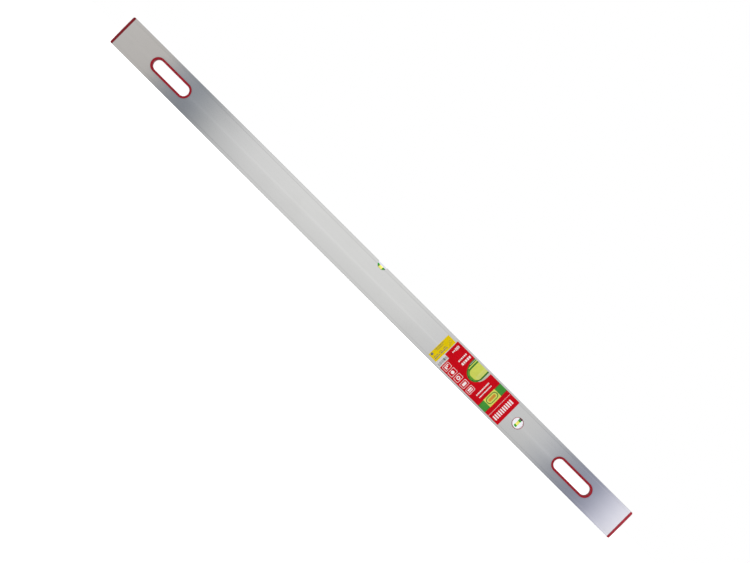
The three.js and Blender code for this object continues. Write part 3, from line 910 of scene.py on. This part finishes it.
def plumb_rings():
    for node, side in (("plumb_ring_front", -1), ("plumb_ring_rear", 1)):
        inner = HALF_DEPTH - PLUMB_RING_LENGTH
        corners = [
            (PLUMB_RING_INNER, side * inner), (PLUMB_RING_OUTER, side * inner),
            (PLUMB_RING_OUTER, side * HALF_DEPTH), (PLUMB_RING_INNER, side * HALF_DEPTH),
        ]
        ring = swept(circle_stations(PLUMB_VIAL_X, MIDDLE_Z), rounded(corners, 0.15, 3))
        piece(surface_of(node, ring), node, "red_plastic", [RED_RING])


# Labels: thin printed film. Later shapes are printed over earlier ones.

INK_COLOURS = {
    "red": (188, 0, 18),
    "white": (232, 222, 222),
    "dark_green": (42, 104, 44),
    "mid_green": (86, 146, 46),
    "band_green": (62, 140, 54),
    "lime": (198, 206, 92),
    "picture_yellow": (194, 202, 88),
    "picture_shade": (196, 203, 108),
    "pale_green": (180, 180, 166),
    "orange": (196, 136, 54),
    "yellow": (214, 188, 0),
    "olive": (142, 128, 70),
    "slate": (104, 108, 112),
}
INKS = {name: ink("ink_" + name, colour) for name, colour in INK_COLOURS.items()}
INKS["film"] = ink("label_film", (199, 199, 199), 0.42)
INKS["grey"] = ink("ink_grey", (136, 134, 136), 0.42)


def bar(left, bottom, width, height):
    return rectangle(left, bottom, left + width, bottom + height)


def soft_bar(left, bottom, width, height, radius):
    return rounded(bar(left, bottom, width, height), radius, 5)


def dashes(ink_name, *columns):
    """Columns of short strokes: (left, bottom, width, lengths from the bottom up, gap)."""
    shapes = []
    for left, bottom, width, lengths, gap in columns:
        for length in lengths:
            shapes.append((ink_name, bar(left, bottom, width, length)))
            bottom += length + gap
    return shapes


def window(middle, top, centre_height, half_width, half_height, steps=28):
    """An outline that is open-ended at the top edge and closes in half an ellipse below."""
    outline = [(middle + half_width, top), (middle - half_width, top)]
    for step in range(steps + 1):
        angle = math.pi + math.pi * step / steps
        outline.append((
            middle + half_width * math.cos(angle), centre_height + half_height * math.sin(angle),
        ))
    return outline


def disc(x, z, radius, steps=28):
    angles = [2 * math.pi * step / steps for step in range(steps)]
    return [(x + radius * math.cos(a), z + radius * math.sin(a)) for a in angles]


def printed_film(node, slot, edge, artwork, place):
    """A film whose front is divided along the edges of what is printed on it.

    Artwork is drawn from the film's lower left corner, and place() says where a point of it lies.
    """
    shapes = [("film", edge)] + artwork
    names = list(dict.fromkeys(name for name, _ in shapes))
    points = []
    faces = []
    for _, outline in shapes:
        faces.append(list(range(len(points), len(points) + len(outline))))
        points += [Vector(point) for point in outline]
    inside_only, merge_distance = 1, 1e-4
    result = delaunay_2d_cdt(points, [], faces, inside_only, merge_distance)
    placed, triangles, origins_of = result[0], result[2], result[5]
    bm = bmesh.new()
    verts = []
    for point in placed:
        x, z = place(point)
        verts.append(bm.verts.new((x, LABEL_FRONT, z)))
    for corners, origins in zip(triangles, origins_of):
        if 0 in origins:
            face = bm.faces.new([verts[k] for k in corners])
            face.material_index = names.index(shapes[max(origins)][0])
    loose = [vert for vert in bm.verts if not vert.link_faces]
    bmesh.ops.delete(bm, geom=loose, context="VERTS")
    rim = [side for side in bm.edges if side.is_boundary]
    grown = bmesh.ops.extrude_edge_only(bm, edges=rim)["geom"]
    back = [item for item in grown if isinstance(item, bmesh.types.BMVert)]
    for vert in back:
        vert.co.y = LABEL_BACK
    back_rim = [
        item for item in grown if isinstance(item, bmesh.types.BMEdge) and item.is_boundary
    ]
    bmesh.ops.edgeloop_fill(bm, edges=back_rim)
    piece(surface_of(node, bm), node, slot, [INKS[name] for name in names])


def pictogram(left, bottom, shape):
    """A plain figure in a frame."""
    width, height, line = 17.8, 23.8, 1.15
    x = left + width / 2
    z = bottom + height / 2
    border = [
        ("white", soft_bar(left, bottom, width, height, 2)),
        ("red", soft_bar(left + line, bottom + line, width - 2 * line, height - 2 * line, 1.2)),
    ]
    figures = {
        "disc": [("white", disc(x, z, 5.2))],
        "ring": [("white", disc(x, z, 5.8)), ("red", disc(x, z, 2.8))],
        "block": [("white", soft_bar(x - 4, z - 7, 8, 14, 1))],
        "steps": [
            ("white", bar(x - 5, z + up, width, height))
            for up, width, height in ((-7, 10, 4.4), (-1, 7, 3.6), (4, 4, 3))
        ],
        "bars": [
            ("white", bar(x + along, z - 7.5, width, 15)) for along, width in ((-5, 4.6), (1.6, 3))
        ],
    }
    return border + figures[shape]


def vial_picture(top):
    """A plain drawing of a vial's end seen through a window, up to the label's top edge."""
    middle, centre_height = 99.9, 80
    right_glint = [
        (125.4, top), (125.4, 58), (121, 48.5), (124, 49.6), (127, 53.6), (129.4, 59),
        (131, 66), (131.8, 73), (132, 80), (132, top),
    ]
    right_shadow = [
        (121, top), (121, 62), (118.6, 53), (114, 46), (117, 46.5), (121.6, 52), (124.6, 60),
        (124.8, top),
    ]
    fill = [(83.1, top), (83.1, 45), (120.6, 45), (120.6, top)]
    shade = [(108, top), (108, 50), (119.6, 50), (119.6, top)]
    art = [
        ("dark_green", window(middle, top, centre_height, 32.1, 45.1)),
        ("mid_green", window(middle, top, centre_height, 29.2, 42.4)),
        ("pale_green", right_glint),
        ("dark_green", right_shadow),
    ]
    for left, foot, width, name in (
        (70.6, 66, 1.6, "pale_green"),
        (73.0, 59, 1.5, "dark_green"),
        (75.4, 56, 2.6, "lime"),
        (80.0, 52, 2.4, "dark_green"),
    ):
        art.append((name, bar(left, foot, width, top - foot)))
    return art + [
        ("picture_yellow", rounded(fill, [0, 15, 15, 0], 8)),
        ("picture_shade", rounded(shade, [0, 5, 9, 0], 6)),
        ("dark_green", soft_bar(88, 37.6, 9, 3.2, 1.4)),
        ("dark_green", soft_bar(106, 38.2, 8, 3.2, 1.4)),
    ]


def vial_band(height):
    """A green band with a plain vial on it, across the whole label."""
    return [
        ("dark_green", bar(169.4, 0, 27.6, height)),
        ("band_green", bar(171.2, 0, 24.2, height)),
        ("lime", bar(168.8, 21.8, 28.6, 44.3)),
        ("dark_green", soft_bar(172.2, 24, 20.6, 39.8, 9.6)),
        ("lime", soft_bar(174.2, 26.4, 16.6, 35, 7.6)),
        ("orange", soft_bar(178.4, 30.8, 8, 26.2, 3)),
    ]


def main_label():
    """The red label. Columns of strokes stand where lettering would be."""
    lo, hi = box_mm("main_label")
    width = hi.x - lo.x
    height = hi.z - lo.z
    stock_hi = box_mm("stock_label")[1]
    notch_x = stock_hi.x + LABEL_SEAM - lo.x
    notch_z = stock_hi.z + LABEL_SEAM - lo.z
    edge = rounded([
        (notch_x, 0), (width, 0), (width, height), (0, height), (0, notch_z), (notch_x, notch_z),
    ], [0.8, 1.2, 1.2, 1.2, 1.2, 0.4], 4)
    art = [("red", edge)]
    art += dashes(
        "white",
        (9.8, 56, 4.4, [2.2, 1.6, 2.4], 1.3),
        (8.6, 67.5, 8, [2.0, 1.5, 2.4, 1.6, 1.3], 1.2),
        (40.2, 49.5, 4.4, [4.2, 3.0, 4.6, 3.4, 4.4, 3.2], 1.7),
        (52.0, 50.2, 7.0, [5.4, 4.0, 6.0, 4.6, 5.2], 2.0),
    )
    art += vial_picture(height)
    shapes = {20.4: "steps", 42.8: "disc", 65.4: "ring", 89.6: "block", 113.4: "bars"}
    for left, shape in shapes.items():
        art += pictogram(left, 4.4, shape)
    first = [3.2, 2.2, 2.8, 2.4, 3.4, 2.2, 3.0, 2.6, 2.2, 3.2, 2.4, 3.0, 2.2]
    second = [2.6, 3.2, 2.2, 2.8, 2.4, 3.4, 2.2, 3.0, 2.6, 2.4, 3.0, 2.8]
    art += dashes("white", (144.2, 17, 4.0, first, 1.3), (154.9, 18.4, 3.5, second, 1.4))
    art += vial_band(height)
    art += dashes("white", (210.2, 1.6, 1.6, [1.6] * 26, 1.7), (221, 6.5, 15.4, [4.2] * 10, 3.1))
    printed_film("main_label", "label_red", edge, art, lambda p: (lo.x + p.x, lo.z + p.y))


def care_label():
    """The yellow label, stuck on a little askew. Two rings and a block stand for its figures."""
    width, height, tilt = CARE_LABEL_WIDTH, CARE_LABEL_HEIGHT, CARE_LABEL_TILT
    lo, hi = box_mm("care_label")
    centre = (lo + hi) / 2
    edge = soft_bar(0, 0, width, height, 1.2)
    art = [("yellow", edge)]
    art += dashes(
        "olive",
        (2.4, 22, 2.6, [3, 5, 2, 6, 4, 3, 5], 1.1),
        (7.7, 26, 2.2, [4, 2, 5, 3, 4, 2], 1.0),
        (16.2, 4.5, 2.4, [5, 3, 6], 1.0),
        (16.2, 25, 2.4, [4, 5], 1.0),
        (16.2, 41, 2.4, [3, 6], 1.0),
    )
    art += dashes(
        "slate", (21.2, 4.5, 2.8, [4, 6, 3, 4], 1.0), (21.2, 28, 2.8, [5, 3, 6, 4, 3], 1.0),
    )
    art += [
        ("slate", soft_bar(2.8, 4.4, 6.8, 7.4, 0.8)),
        ("olive", disc(17.4, 70.2, 4.4)),
        ("yellow", disc(17.4, 70.2, 3.5)),
        ("olive", disc(22.6, 62.6, 2.4)),
        ("yellow", disc(22.6, 62.6, 1.7)),
    ]

    def place(point):
        x = point.x - width / 2
        z = point.y - height / 2
        return (
            centre.x + x * math.cos(tilt) + z * math.sin(tilt),
            centre.z - x * math.sin(tilt) + z * math.cos(tilt),
        )

    printed_film("care_label", "label_yellow", edge, art, place)


def stock_label():
    """The white label in the corner of the red one."""
    lo, hi = box_mm("stock_label")
    edge = soft_bar(0, 0, hi.x - lo.x, hi.z - lo.z, 0.8)
    art = dashes("grey", (6, 2.4, 8.8, [2.6, 1.4, 3.2, 1.8, 2.6, 2.0], 1.5))
    art += dashes("slate", (6, 24.2, 8.8, [4.6], 1.5))
    art += dashes("grey", (6.6, 30.4, 7.6, [2.0, 1.6], 1.2))
    printed_film("stock_label", "label_white", edge, art, lambda p: (lo.x + p.x, lo.z + p.y))


# The level

box_profile()
# The right cap takes the copy with painted light, and the left cap the copy with painted shade.
end_cap("end_cap_right", Matrix.Identity(4), LIT_CAP)
end_cap("end_cap_left", Matrix.Rotation(math.pi, 4, "Z"), SHADED_CAP)
hand_grips()
level_vial_cradle()
level_vial()
plumb_vial()
plumb_rings()
main_label()
care_label()
stock_label()

# Surroundings: what the metal mirrors, a white floor and soft lamps

CAMERA_DISTANCE = 5.0
FLOOR_RADIUS = 40

# Where along the front face a tone shows, in metres from the middle, and the tone.
# What lies beyond the ends of the level shows when it is seen from elsewhere.
MIRRORED_TONES = [
    (-40.0, even(0.50)),
    (-6.0, even(0.62)),
    (-2.6, (0.80, 0.80, 0.79)),
    (-0.94, (0.515, 0.495, 0.475)),
    (-0.853, (0.505, 0.485, 0.465)),
    (-0.847, (0.415, 0.415, 0.42)),
    (-0.80, (0.32, 0.33, 0.355)),
    (-0.735, (0.255, 0.275, 0.305)),
    (-0.70, (0.315, 0.33, 0.35)),
    (-0.65, (0.48, 0.485, 0.49)),
    (-0.60, (0.575, 0.58, 0.58)),
    (-0.50, (0.68, 0.68, 0.675)),
    (-0.30, (0.715, 0.715, 0.705)),
    (0.10, (0.70, 0.70, 0.69)),
    (0.30, even(0.62)),
    (0.60, (0.595, 0.595, 0.59)),
    (0.69, (0.50, 0.51, 0.53)),
    (0.72, (0.44, 0.45, 0.475)),
    (0.75, (0.33, 0.34, 0.38)),
    (0.79, (0.25, 0.265, 0.33)),
    (0.83, (0.335, 0.345, 0.42)),
    (0.88, (0.32, 0.33, 0.42)),
    (0.907, (0.325, 0.345, 0.46)),
    (0.923, (0.38, 0.395, 0.52)),
    (0.930, (0.66, 0.665, 0.77)),
    (0.96, (0.86, 0.85, 0.93)),
    (1.0, (0.93, 0.915, 0.97)),
    (1.4, (0.80, 0.79, 0.82)),
    (2.6, (0.60, 0.60, 0.62)),
    (6.0, even(0.78)),
    (40.0, even(0.55)),
]
# How bright the walls are, from straight down (0) to straight up (1)
HEIGHT_TONES = [
    (0.0, even(0.45)),
    (0.40, even(0.80)),
    (0.5, even(1.0)),
    (0.58, even(1.08)),
    (0.75, even(0.70)),
    (1.0, even(0.60)),
]


def surroundings():
    """White to the eye and through the vials; to all else, a studio of bright and dim walls."""
    world = bpy.data.worlds.new("studio")
    bpy.context.scene.world = world
    world.use_nodes = True
    nodes = Nodes(world.node_tree)
    direction = nodes.add("ShaderNodeTexCoord").outputs["Generated"]
    axes = nodes.add("ShaderNodeSeparateXYZ", {0: direction}).outputs
    depth = nodes.maths("ABSOLUTE", axes["Y"])
    bearing = nodes.maths("ARCTAN2", axes["X"], depth)
    bearing = nodes.remap(bearing, -math.pi / 2, math.pi / 2, 0, 1)
    stops = [
        (0.5 + math.atan(x / CAMERA_DISTANCE) / math.pi, tone) for x, tone in MIRRORED_TONES
    ]
    walls = nodes.ramp(bearing, stops)
    rise = nodes.ramp(nodes.remap(axes["Z"], -1, 1, 0, 1), HEIGHT_TONES)
    product = nodes.add("ShaderNodeVectorMath", {0: walls, 1: rise}, operation="MULTIPLY")
    studio = nodes.add("ShaderNodeBackground", {"Color": product.outputs[0], "Strength": 1.0})
    white = nodes.add("ShaderNodeBackground", {"Color": (1, 1, 1, 1), "Strength": 1.0})
    path = nodes.add("ShaderNodeLightPath").outputs
    seen = nodes.maths("MAXIMUM", path["Is Camera Ray"], path["Is Transmission Ray"])
    choice = nodes.add("ShaderNodeMixShader", {0: seen, 1: studio.outputs[0], 2: white.outputs[0]})
    output = nodes.add("ShaderNodeOutputWorld")
    world.node_tree.links.new(choice.outputs[0], output.inputs["Surface"])


def floor():
    """A white floor that can be looked through from below."""
    material, nodes = new_material("white_floor")
    mottle = nodes.noise((3, 3, 3), 4, 0.6)
    tone = nodes.mix(nodes.remap(mottle, 0.3, 0.7, 0, 1), even(0.90), even(0.93))
    underside = nodes.add("ShaderNodeNewGeometry").outputs["Backfacing"]
    nodes.surface({
        "Base Color": tone,
        "Roughness": 0.9,
        "Emission Color": (1, 1, 1, 1),
        "Emission Strength": 0.75,
        "Alpha": nodes.maths("SUBTRACT", 1.0, underside),
    })
    bm = bmesh.new()
    bmesh.ops.create_circle(bm, cap_ends=True, segments=96, radius=FLOOR_RADIUS / MM)
    ground = to_object("floor", bm)
    ground.data.materials.append(material)
    ground.visible_glossy = False


def lamp(name, place, size, power):
    """A soft lamp aimed at the level; the metal mirrors the walls only."""
    light = bpy.data.lights.new(name, "AREA")
    light.shape = "RECTANGLE"
    light.size, light.size_y = size
    light.energy = power
    holder = bpy.data.objects.new(name, light)
    bpy.context.scene.collection.objects.link(holder)
    holder.location = place
    aim = Vector((0, 0, MIDDLE_Z * MM)) - Vector(place)
    holder.rotation_euler = aim.to_track_quat("-Z", "Y").to_euler()
    holder.visible_glossy = False


def camera():
    """Square on to the front face, turned so that the level runs down to the right."""
    level_share = 0.9387  # the level's length over the picture's width
    roll = math.radians(44.9)
    right_share, down_share = 0.0048, 0.0053  # how far off the level's middle the camera stands
    span = LEVEL_LENGTH * MM / level_share
    right = Vector((math.cos(roll), 0, math.sin(roll)))
    up = Vector((-math.sin(roll), 0, math.cos(roll)))
    back = Vector((0, -1, 0))
    data = bpy.data.cameras.new("camera")
    data.sensor_width = 36
    data.lens = data.sensor_width * CAMERA_DISTANCE / span
    viewer = bpy.data.objects.new("camera", data)
    bpy.context.scene.collection.objects.link(viewer)
    middle = Vector((0, -HALF_DEPTH * MM, MIDDLE_Z * MM))
    spot = middle + back * CAMERA_DISTANCE + right * right_share * span - up * down_share * span
    turn = Matrix((right, up, back)).transposed().to_4x4()
    viewer.matrix_world = Matrix.Translation(spot) @ turn
    bpy.context.scene.camera = viewer


surroundings()
floor()
# Name, place and size in metres, power in watts
lamp("overhead", (0.4, -0.6, 3.2), (4.5, 2.5), 42)
lamp("front_fill", (0.6, -4.2, 1.4), (4.0, 2.0), 13)
lamp("rear_fill", (-0.6, 4.2, 1.4), (4.0, 2.0), 13)
lamp("right_side", (3.2, -1.0, 0.9), (1.2, 1.2), 6)
camera()
bpy.context.scene.view_settings.view_transform = "Standard"
